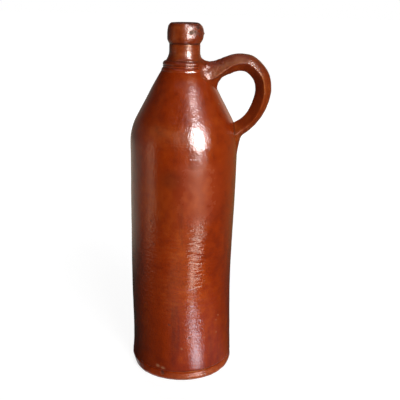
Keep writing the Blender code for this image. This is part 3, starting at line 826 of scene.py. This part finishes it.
def handle_fields(points, fold, smeared):
    """Glaze of the handle: dull sides, thin creases, a stretch of bare-clay tone that paints a sheen, and a
    tail darkened as painted shade.
    """
    row = np.arange(len(points))[:, None]
    share = row / len(points)
    degrees = np.degrees(fold)
    thin = band(fold, CREASE, CREASE_HALF) * (HANDLE_THIN_MEAN + uneven(points, HANDLE_THIN_RIPPLES))
    inner_dull = np.minimum(rise(fold, *INNER_DULL), INNER_DULL_MOST)
    # A stretch of bare-clay tone along the handle's arch that paints a sheen
    painted_sheen = band(share, *SHEEN_PAINT_STRETCH) * rise(degrees, *SHEEN_PAINT_STARTS) * rise(degrees, *SHEEN_PAINT_ENDS)
    return {
        "dull": np.maximum(smooth_curve(share, HANDLE_DULL), inner_dull),
        # The tail's inner side, darkened as painted shade
        "pool_and_shade": rise(len(points) - 1 - row, *TAIL_ROWS) * rise(degrees, *TAIL_SHADE),
        "thin": np.clip(thin, 0, 1),
        "matte": even(points, 1.0) * rise(row, *MATTE_ROWS),
        "hazy": even(points, HANDLE_HAZE) + SMEARED_HAZE * smeared,
        "bare": painted_sheen * np.clip(SHEEN_PAINT_MEAN + uneven(points, SHEEN_PAINT_RIPPLES), 0, 1),
    }

def make_handle(material):
    """The pulled handle with its smeared roots, as one skin."""
    points, fold = handle_skin()
    row = np.arange(len(points))[:, None]
    free = rise(np.minimum(row, len(points) - 1 - row), *FREE_ROWS)
    swell_out(points, uneven(points, HANDLE_RIPPLES) * free)
    smeared = rise(row, *SMEARED_STARTS) * rise(row, *SMEARED_ENDS)
    swell_out(points, uneven(points, SMEARED_RIPPLES) * smeared)
    fields = handle_fields(points, fold, smeared)
    piece = skin("glazed_handle", lean(points), False, fields, material)
    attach(piece, "root")
    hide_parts("handle", "upper_luting_pad", "lower_luting_pad")

class Nodes:
    """Short ways to add and link the nodes of one material."""

    def __init__(self, tree):
        self.tree = tree

    def add(self, kind, **values):
        node = self.tree.nodes.new(kind)
        for name, value in values.items():
            setattr(node, name, value)
        return node

    def link(self, output, target):
        self.tree.links.new(output, target)

    def noise(self, vector, scale, detail, rough):
        node = self.add("ShaderNodeTexNoise")
        self.link(vector, node.inputs["Vector"])
        node.inputs["Scale"].default_value = scale
        node.inputs["Detail"].default_value = detail
        node.inputs["Roughness"].default_value = rough
        return node.outputs["Fac"]

    def span(self, value, low, high, start, end):
        node = self.add("ShaderNodeMapRange", interpolation_type="SMOOTHSTEP")
        self.link(value, node.inputs["Value"])
        for socket, number in zip(("From Min", "From Max", "To Min", "To Max"), (low, high, start, end)):
            node.inputs[socket].default_value = number
        return node.outputs["Result"]

    def math(self, operation, first, second):
        node = self.add("ShaderNodeMath", operation=operation)
        for socket, value in zip(node.inputs, (first, second)):
            if isinstance(value, float):
                socket.default_value = value
            else:
                self.link(value, socket)
        return node.outputs["Value"]

    def plus(self, first, second):
        return self.math("ADD", first, second)

    def times(self, first, second):
        return self.math("MULTIPLY", first, second)

    def mix(self, factor, first, second):
        node = self.add("ShaderNodeMix", data_type="RGBA")
        self.link(factor, node.inputs[0])
        for socket, value in zip((node.inputs[6], node.inputs[7]), (first, second)):
            if isinstance(value, tuple):
                socket.default_value = (*value, 1.0)
            else:
                self.link(value, socket)
        return node.outputs[2]

    def bump(self, height, distance):
        node = self.add("ShaderNodeBump")
        node.inputs["Distance"].default_value = distance
        self.link(height, node.inputs["Height"])
        return node.outputs["Normal"]

    def field(self, name):
        return self.add("ShaderNodeAttribute", attribute_name=name).outputs["Fac"]

    def stretched(self, vector, scale):
        node = self.add("ShaderNodeMapping", vector_type="TEXTURE")
        self.link(vector, node.inputs["Vector"])
        node.inputs["Scale"].default_value = scale
        return node.outputs["Vector"]

# Glaze colours: deep, middle and warm shades, then the other tones
BODY_SHADES = ((0.20, 0.0165, 0.002), (0.27, 0.0245, 0.001), (0.34, 0.040, 0.001))
# A darker copy of the body's glaze for neck and lip, which paints shade on them
SHADED_NECK_SHADES = ((0.14, 0.015, 0.003), (0.19, 0.022, 0.003), (0.25, 0.036, 0.003))
HANDLE_SHADES = ((0.15, 0.018, 0.004), (0.20, 0.026, 0.004), (0.26, 0.045, 0.006))
RUN = (0.10, 0.012, 0.007)
# Dark tone of pooled glaze and of painted shade
POOL_AND_SHADE = (0.06, 0.008, 0.004)
EDGE = (0.42, 0.085, 0.014)
# Dark tone of worn glaze and pits, and of the painted shade along the lip's rim
WEAR_AND_SHADE = (0.045, 0.025, 0.024)
CLAY = (0.42, 0.19, 0.10)
DARK_CLAY = (0.33, 0.14, 0.07)
SHINE_TINT = (1.0, 0.55, 0.08, 1.0)
GLASS_INDEX = 1.5

# Noises of the glaze: scale, detail and roughness, and how far some are stretched along X, Y and Z
CLOUD_NOISE = (30.0, 3.0, 0.55)
CLOUD_STRETCH = (1.0, 1.0, 2.5)
CLOUD_SHARE = 0.6
MOTTLE_NOISE = (150.0, 4.0, 0.6)
MOTTLE_SHARE = 0.4
SPECKLE_NOISE = (900.0, 2.0, 0.5)
RUN_NOISE = (75.0, 4.0, 0.6)
RUN_STRETCH = (1.0, 1.0, 7.0)
COARSE_PEEL_NOISE = (430.0, 1.0, 0.5)
FINE_PEEL_NOISE = (880.0, 1.0, 0.5)
FINGER_NOISE = (130.0, 2.0, 0.5)
FINGER_STRETCH = (1.8, 1.8, 0.4)
PIT_SCALE = 95.0

# Smooth steps: values of a noise or field at start and end, and what the step gives there
MIDDLE_SHADE = (0.36, 0.52, 0.0, 1.0)
WARM_SHADE = (0.5, 0.66, 0.0, 1.0)
RUN_COLOUR = (0.56, 0.78, 0.0, 0.6)
SPECKLE_COLOUR = (0.58, 0.8, 0.0, 0.35)
THIN_COLOUR = (0.3, 0.7, 0.25, 0.8)
WEAR_AND_SHADE_COLOUR = (0.3, 0.6, 0.55, 0.95)
CLAY_COLOUR = (0.4, 0.65, 0.0, 1.0)
PIT_CHOICE = (0.93, 0.94, 0.0, 1.0)
PIT_SIZE = (0.03, 0.075, 1.0, 0.0)
UNDER_ROUGHNESS = (0.3, 0.75, 0.32, 0.42)
UNDER_SHINE = (0.0, 1.0, 0.14, 0.06)
DULL_COAT = (0.0, 1.0, 1.0, 0.04)
BARE_COAT = (0.2, 0.8, 1.0, 0.0)
WORN_COAT = (0.1, 0.9, 1.0, 0.15)
FINE_PEEL = (0.0, 1.0, 0.74, 0.28)
COARSE_PEEL = (0.0, 1.0, 0.6, 0.35)
FINGER_LINES = (0.0, 1.0, 0.25, 1.3)
HAZY_RELIEF = (0.0, 1.0, 1.0, 0.25)

# How far pooled glaze with painted shade and the pits darken the glaze, and how deep the pits are beside the
# peel
POOL_AND_SHADE_SHARE = 0.8
PIT_SHARE = 0.75
PIT_RELIEF = 0.8
# How much roughness worn, bare, dull and hazy places add below the coat and on it
WORN_UNDER = 0.2
BARE_UNDER = 0.4
COAT_ROUGHNESS = (("wear_and_shade", 0.25), ("dull", 0.12), ("hazy", 0.12))
# Values of the mottle between which the coat's roughness grows, how far it grows, and the peel below the coat
COAT_MOTTLE = (0.3, 0.75)
COAT_CHANGE = 0.06
UNDER_PEEL = 0.3

def pit_mask(nodes, place):
    """1 in a few small round pits."""
    cells = nodes.add("ShaderNodeTexVoronoi")
    nodes.link(place, cells.inputs["Vector"])
    cells.inputs["Scale"].default_value = PIT_SCALE
    chosen = nodes.add("ShaderNodeSeparateColor")
    nodes.link(cells.outputs["Color"], chosen.inputs["Color"])
    some = nodes.span(chosen.outputs["Red"], *PIT_CHOICE)
    return nodes.times(nodes.span(cells.outputs["Distance"], *PIT_SIZE), some)

def glaze_colour(nodes, place, mottle, pits, shades):
    """Clouded shades with dark runs and speckles, thin edges, darkening that is partly pooled glaze and
    partly painted shade, pits, worn places and painted shade on the lip's rim, and bare clay, which on the
    handle paints a sheen.
    """
    deep, middle, warm = shades
    cloud = nodes.noise(nodes.stretched(place, CLOUD_STRETCH), *CLOUD_NOISE)
    speckle = nodes.noise(place, *SPECKLE_NOISE)
    runs = nodes.noise(nodes.stretched(place, RUN_STRETCH), *RUN_NOISE)
    mixed = nodes.plus(nodes.times(cloud, CLOUD_SHARE), nodes.times(mottle, MOTTLE_SHARE))
    colour = nodes.mix(nodes.span(mixed, *MIDDLE_SHADE), deep, middle)
    colour = nodes.mix(nodes.span(mixed, *WARM_SHADE), colour, warm)
    colour = nodes.mix(nodes.span(runs, *RUN_COLOUR), colour, RUN)
    colour = nodes.mix(nodes.span(speckle, *SPECKLE_COLOUR), colour, RUN)
    colour = nodes.mix(nodes.times(nodes.field("thin"), nodes.span(mottle, *THIN_COLOUR)), colour, EDGE)
    # Darkening: partly pooled glaze, partly painted shade
    colour = nodes.mix(nodes.times(nodes.field("pool_and_shade"), POOL_AND_SHADE_SHARE), colour, POOL_AND_SHADE)
    colour = nodes.mix(nodes.times(pits, PIT_SHARE), colour, WEAR_AND_SHADE)
    # Worn glaze, and the painted shade along the lip's rim
    colour = nodes.mix(nodes.times(nodes.field("wear_and_shade"), nodes.span(speckle, *WEAR_AND_SHADE_COLOUR)), colour, WEAR_AND_SHADE)
    # Bare clay, which on the handle also paints a sheen
    clay = nodes.mix(nodes.span(speckle, *CLAY_COLOUR), CLAY, DARK_CLAY)
    return nodes.mix(nodes.field("bare"), colour, clay)

def glaze_gloss(nodes, shader, mottle, gloss):
    """A tinted layer below and a clear coat, weaker and rougher where the glaze is dull, bare or worn."""
    wear_and_shade = nodes.field("wear_and_shade")
    bare = nodes.field("bare")
    rough = nodes.plus(nodes.span(mottle, *UNDER_ROUGHNESS), nodes.times(wear_and_shade, WORN_UNDER))
    nodes.link(nodes.plus(rough, nodes.times(bare, BARE_UNDER)), shader.inputs["Roughness"])
    nodes.link(nodes.span(nodes.field("matte"), *UNDER_SHINE), shader.inputs["Specular IOR Level"])
    shader.inputs["Specular Tint"].default_value = SHINE_TINT
    coated = nodes.times(nodes.span(nodes.field("dull"), *DULL_COAT), nodes.span(bare, *BARE_COAT))
    nodes.link(nodes.times(coated, nodes.span(wear_and_shade, *WORN_COAT)), shader.inputs["Coat Weight"])
    coat = nodes.span(mottle, *COAT_MOTTLE, gloss, gloss + COAT_CHANGE)
    for name, share in COAT_ROUGHNESS:
        coat = nodes.plus(coat, nodes.times(nodes.field(name), share))
    nodes.link(coat, shader.inputs["Coat Roughness"])
    shader.inputs["Coat IOR"].default_value = GLASS_INDEX
    shader.inputs["IOR"].default_value = GLASS_INDEX

def glaze_relief(nodes, place, pits):
    """Height of the orange peel, which gives way to lines where fingers marked the clay, less the pits."""
    fingered = nodes.field("fingered")
    fine = nodes.times(nodes.noise(place, *FINE_PEEL_NOISE), nodes.span(fingered, *FINE_PEEL))
    coarse = nodes.times(nodes.noise(place, *COARSE_PEEL_NOISE), nodes.span(fingered, *COARSE_PEEL))
    lines = nodes.noise(nodes.stretched(place, FINGER_STRETCH), *FINGER_NOISE)
    lines = nodes.times(lines, nodes.span(fingered, *FINGER_LINES))
    height = nodes.plus(nodes.plus(coarse, fine), lines)
    height = nodes.math("SUBTRACT", height, nodes.times(pits, PIT_RELIEF))
    return nodes.times(height, nodes.span(nodes.field("hazy"), *HAZY_RELIEF))

def glaze(name, shades, peel, gloss):
    """Glossy iron glaze: clouded colour, dark runs, thin edges, pits and an orange-peel surface."""
    material = bpy.data.materials.new(name)
    material.use_nodes = True
    nodes = Nodes(material.node_tree)
    shader = material.node_tree.nodes["Principled BSDF"]
    place = nodes.add("ShaderNodeTexCoord").outputs["Object"]
    mottle = nodes.noise(place, *MOTTLE_NOISE)
    pits = pit_mask(nodes, place)
    nodes.link(glaze_colour(nodes, place, mottle, pits, shades), shader.inputs["Base Color"])
    glaze_gloss(nodes, shader, mottle, gloss)
    height = glaze_relief(nodes, place, pits)
    nodes.link(nodes.bump(height, UNDER_PEEL * peel * MM), shader.inputs["Normal"])
    nodes.link(nodes.bump(height, peel * MM), shader.inputs["Coat Normal"])
    return material

# Camera fitted to the photograph: angles in degrees, place in metres, focal length in pixels of the picture
CAMERA_TURN = 8.0
CAMERA_PITCH = 17.09
CAMERA_YAW = 1.629
CAMERA_ROLL = 1.188
CAMERA_PLACE = (0.0, -0.5242, 0.3127)
FOCAL_LENGTH = 631.1
PICTURE_WIDTH = 400.0
SENSOR_WIDTH = 36.0

def make_camera():
    """The photograph's view: a little above the rim, turned a few degrees towards the handle."""
    yaw = Matrix.Rotation(math.radians(-CAMERA_YAW), 4, "Z")
    pitch = Matrix.Rotation(math.radians(90 - CAMERA_PITCH), 4, "X")
    roll = Matrix.Rotation(math.radians(CAMERA_ROLL), 4, "Z")
    data = bpy.data.cameras.new("camera")
    data.sensor_width = SENSOR_WIDTH
    data.lens = SENSOR_WIDTH * FOCAL_LENGTH / PICTURE_WIDTH
    camera = bpy.data.objects.new("camera", data)
    bpy.context.scene.collection.objects.link(camera)
    turn = Matrix.Rotation(math.radians(CAMERA_TURN), 4, "Z")
    camera.matrix_world = turn @ Matrix.Translation(CAMERA_PLACE) @ yaw @ pitch @ roll
    bpy.context.scene.camera = camera

def seen_directly(nodes):
    """1 for camera, mirror and glass rays."""
    path = nodes.add("ShaderNodeLightPath")
    total = nodes.plus(path.outputs["Is Camera Ray"], path.outputs["Is Glossy Ray"])
    return nodes.math("MINIMUM", nodes.plus(total, path.outputs["Is Transmission Ray"]), 1.0)

def stage_material(name, tone):
    """A matt material of this colour, with its nodes and its shader."""
    material = bpy.data.materials.new(name)
    material.use_nodes = True
    shader = material.node_tree.nodes["Principled BSDF"]
    shader.inputs["Base Color"].default_value = (*tone, 1.0)
    shader.inputs["Roughness"].default_value = 1.0
    shader.inputs["Specular IOR Level"].default_value = 0.0
    return material, Nodes(material.node_tree), shader

# Floor and world: size in metres, colours, and smooth steps as for the glaze
FLOOR_SIZE = 40.0
FLOOR_GREY = (0.3, 0.3, 0.3)
FLOOR_GLOW = (0.1, 0.9, 0.86, 1.0)
WHITE = (1.0, 1.0, 1.0)
DARK_SKY = (0.04, 0.04, 0.04)
TOP_SKY = (0.3, 0.28, 0.34)
SHADOW_LIGHT = (0.07, 0.07, 0.07)
HORIZON_STEP = (0.1, 0.5, 0.0, 1.0)
TOP_STEP = (0.75, 0.95, 0.0, 1.0)

def make_floor():
    """A wide pale floor that keeps the bottle's shadow and is white further off."""
    bpy.ops.mesh.primitive_grid_add(x_subdivisions=2, y_subdivisions=2, size=FLOOR_SIZE)
    floor = bpy.context.object
    floor.name = "floor"
    material, nodes, shader = stage_material("floor_white", FLOOR_GREY)
    shader.inputs["Emission Color"].default_value = (*WHITE, 1.0)
    reach = nodes.add("ShaderNodeVectorMath", operation="LENGTH")
    nodes.link(nodes.add("ShaderNodeTexCoord").outputs["Object"], reach.inputs[0])
    glow = nodes.span(reach.outputs["Value"], *FLOOR_GLOW)
    nodes.link(nodes.times(glow, seen_directly(nodes)), shader.inputs["Emission Strength"])
    floor.data.materials.append(material)

def make_world():
    """Dim even light for the shadows, and a white horizon behind the bottle."""
    world = bpy.data.worlds.new("studio")
    bpy.context.scene.world = world
    world.use_nodes = True
    nodes = Nodes(world.node_tree)
    background = world.node_tree.nodes["Background"]
    parts = nodes.add("ShaderNodeSeparateXYZ")
    nodes.link(nodes.add("ShaderNodeTexCoord").outputs["Generated"], parts.inputs["Vector"])
    sky = nodes.mix(nodes.span(parts.outputs["Z"], *HORIZON_STEP), WHITE, DARK_SKY)
    sky = nodes.mix(nodes.span(parts.outputs["Z"], *TOP_STEP), sky, TOP_SKY)
    nodes.link(nodes.mix(seen_directly(nodes), SHADOW_LIGHT, sky), background.inputs["Color"])

# Room that the glaze mirrors: radii of rings on the table, heights of rings on the wall, and its turns
ROOM_TONE = (0.02, 0.018, 0.016)
ROOM_RADIUS = 1.6
TABLE_LIFT = 0.0006
TABLE_RINGS = (
    0.047, 0.055, 0.065, 0.08, 0.1, 0.125, 0.15, 0.18, 0.22, 0.27,
    0.33, 0.39, 0.45, 0.52, 0.65, 0.85, 0.92, 1.0, 1.2,
)
WALL_RINGS = (
    0.0, 0.1, 0.25, 0.5, 0.75, 1.0, 1.2, 1.3, 1.4, 1.5, 1.6,
    1.7, 1.8, 1.9, 2.0, 2.2, 2.35, 2.5, 2.65, 2.8, 2.95, 3.1,
)
ROOM_TURNS = (-180, 181, 2)
# Its lit parts: first turn, last turn and their blur, nearest and farthest place and their blur, colour
ROOM_GLOWS = (
    (-200, 200, 5, 0.0, 9.0, 0.1, (0.025, 0.021, 0.018)),
    (-170, -97, 4, 0.3, 1.5, 0.12, (0.38, 0.31, 0.25)),
    (-84, -66, 4, 0.3, 1.5, 0.12, (0.38, 0.31, 0.25)),
    (-97, -84, 4, 0.65, 1.5, 0.1, (0.38, 0.31, 0.25)),
    (-170, -66, 4, 1.5, 2.2, 0.2, (0.16, 0.13, 0.11)),
    (-66, -59, 1.5, 0.4, 1.95, 0.1, (3.0, 2.2, 1.5)),
    (-12, 30, 8, 0.16, 0.42, 0.05, (0.55, 0.40, 0.22)),
    (2, 44, 10, 0.45, 2.0, 0.06, (0.3, 0.22, 0.22)),
    (32, 43, 4, 0.22, 0.42, 0.025, (9.4, 9.0, 7.9)),
    (33, 43, 4, 0.33, 0.42, 0.03, (5.0, 4.8, 4.2)),
    (29, 42, 7, 0.068, 0.156, 0.012, (9.0, 10.2, 12.2)),
    (0, 82, 25, 0.055, 0.2, 0.03, (0.22, 0.19, 0.33)),
    (-75, -8, 10, 2.2, 2.7, 0.12, (0.7, 0.5, 0.2)),
    (96, 200, 12, 0.3, 9.0, 0.15, (0.20, 0.12, 0.04)),
    (146, 168, 5, 1.8, 2.7, 0.2, (0.6, 0.47, 0.43)),
    (-60, 20, 12, 4.25, 4.6, 0.1, (2.8, 2.7, 2.8)),
    (18, 64, 18, 3.0, 3.32, 0.1, (7.6, 7.2, 8.7)),
    (-6, 60, 14, 2.05, 2.55, 0.2, (2.6, 2.2, 1.9)),
    (34, 45, 4, 0.93, 1.15, 0.08, (5.0, 5.0, 5.0)),
)
# How far the glare on the table bends aside, against its distance
GLARE_SWAY = (
    (0.05, -6.0), (0.067, -3.0), (0.1, 0.0), (0.17, -6.0), (0.25, -8.0),
    (0.3, -2.0), (0.36, 5.0), (0.42, 8.0), (0.5, 0.0),
)

def ease(x, low, high):
    """A smooth step from 0 to 1."""
    share = np.clip((x - low) / (high - low), 0, 1)
    return share * share * (3 - 2 * share)

def room_glow(turn, reach):
    """Colour of the room's own light at these turns and places out along the table and up the wall."""
    total = np.zeros(turn.shape + (3,))
    turn = turn - smooth_curve(reach, GLARE_SWAY)
    for first, last, blur, near, far, fade, colour in ROOM_GLOWS:
        across = ease(turn, first - blur, first + blur) * (1 - ease(turn, last - blur, last + blur))
        along = ease(reach, near - fade, near + fade) * (1 - ease(reach, far - fade, far + fade))
        total += (across * along)[..., None] * np.array(colour)
    return total

def card(name, points, glow):
    """A studio card over a grid of points that only mirrors see, with a glow colour at each point."""
    rows, columns = points.shape[:2]
    index = np.arange(rows * columns).reshape(rows, columns)
    quads = np.stack((index[:-1, :-1], index[:-1, 1:], index[1:, 1:], index[1:, :-1]), axis=-1)
    mesh = bpy.data.meshes.new(name)
    mesh.from_pydata(points.reshape(-1, 3).tolist(), [], quads.reshape(-1, 4).tolist())
    layer = mesh.attributes.new("glow", "FLOAT_COLOR", "POINT")
    layer.data.foreach_set("color", np.dstack((glow, np.ones((rows, columns)))).ravel())
    material, nodes, shader = stage_material(name, ROOM_TONE)
    shader.inputs["Emission Strength"].default_value = 1.0
    shade = nodes.add("ShaderNodeAttribute", attribute_name="glow")
    nodes.link(shade.outputs["Color"], shader.inputs["Emission Color"])
    mesh.materials.append(material)
    item = bpy.data.objects.new(name, mesh)
    bpy.context.scene.collection.objects.link(item)
    item.visible_camera = False
    item.visible_diffuse = False
    item.visible_shadow = False
    item.visible_transmission = False

def make_room():
    """The dim room round the bottle, with a doorway on its left and the window's light on the table."""
    table = [(reach, TABLE_LIFT) for reach in TABLE_RINGS]
    wall = [(ROOM_RADIUS, TABLE_LIFT + up) for up in WALL_RINGS]
    distance, height = np.array(table + wall).T
    turn, distance = np.meshgrid(np.arange(*ROOM_TURNS), distance)
    angle = np.radians(turn)
    height = np.broadcast_to(height[:, None], turn.shape)
    points = np.stack((distance * np.sin(angle), -distance * np.cos(angle), height), axis=-1)
    card("room", points, room_glow(turn, distance + height))

# Lamps: turn, distance, height, height aimed at, width and height, and radiance
SOFT_KEY = (32.0, 0.95, 0.55, 0.4, (0.4, 0.9), 8.2)
TABLE_BOUNCE = (30.0, 0.5, 0.08, 0.08, (0.35, 0.12), 4.5)
WINDOW_PANE = (40.5, 0.94, 0.55, 0.55, (0.43, 0.96), 40.0)
WINDOW_COLOUR = (0.9, 0.93, 1.0)
BACK_FILL = (190.0, 0.9, 1.2, 0.15, (0.8, 0.5), 5.0)
BACK_SHEEN = (190.0, 0.9, 1.2, 0.15, (0.8, 0.5), 1.8)

def lamp(name, turn, distance, height, aim, size, radiance):
    """An area lamp round the bottle. Turn 0 is in front, along -Y, and 90 on the handle's side."""
    wide, high = size
    data = bpy.data.lights.new(name, "AREA")
    data.shape = "RECTANGLE"
    data.size = wide
    data.size_y = high
    data.energy = radiance * math.pi * wide * high
    item = bpy.data.objects.new(name, data)
    bpy.context.scene.collection.objects.link(item)
    angle = math.radians(turn)
    item.location = (distance * math.sin(angle), -distance * math.cos(angle), height)
    item.rotation_mode = "QUATERNION"
    item.rotation_quaternion = (Vector((0, 0, aim)) - item.location).to_track_quat("-Z", "Y")
    item.visible_camera = False
    return item

def make_lights():
    """Lamps that light the clay without being mirrored, and a pane and a sheen that are only mirrored."""
    key = lamp("soft_key", *SOFT_KEY)
    bounce = lamp("table_bounce", *TABLE_BOUNCE)
    pane = lamp("window_pane", *WINDOW_PANE)
    fill = lamp("back_fill", *BACK_FILL)
    sheen = lamp("back_sheen", *BACK_SHEEN)
    pane.data.shape = "ELLIPSE"
    pane.data.color = WINDOW_COLOUR
    for item in (key, bounce, fill):
        item.visible_glossy = False
    for item in (pane, sheen):
        item.visible_diffuse = False

bpy.context.scene.view_settings.view_transform = "Standard"
body_glaze = glaze("body_glaze", BODY_SHADES, peel=0.3, gloss=0.09)
make_base(glaze("base_glaze", BODY_SHADES, peel=0.2, gloss=0.2))
make_body(body_glaze)
make_collar(body_glaze)
# Neck and lip take the darker copy of the glaze, which paints shade
neck_glaze = glaze("neck_glaze", SHADED_NECK_SHADES, peel=0.2, gloss=0.17)
make_neck(neck_glaze)
make_lip(neck_glaze)
make_handle(glaze("handle_glaze", HANDLE_SHADES, peel=0.6, gloss=0.14))
make_floor()
make_world()
make_room()
make_lights()
make_camera()
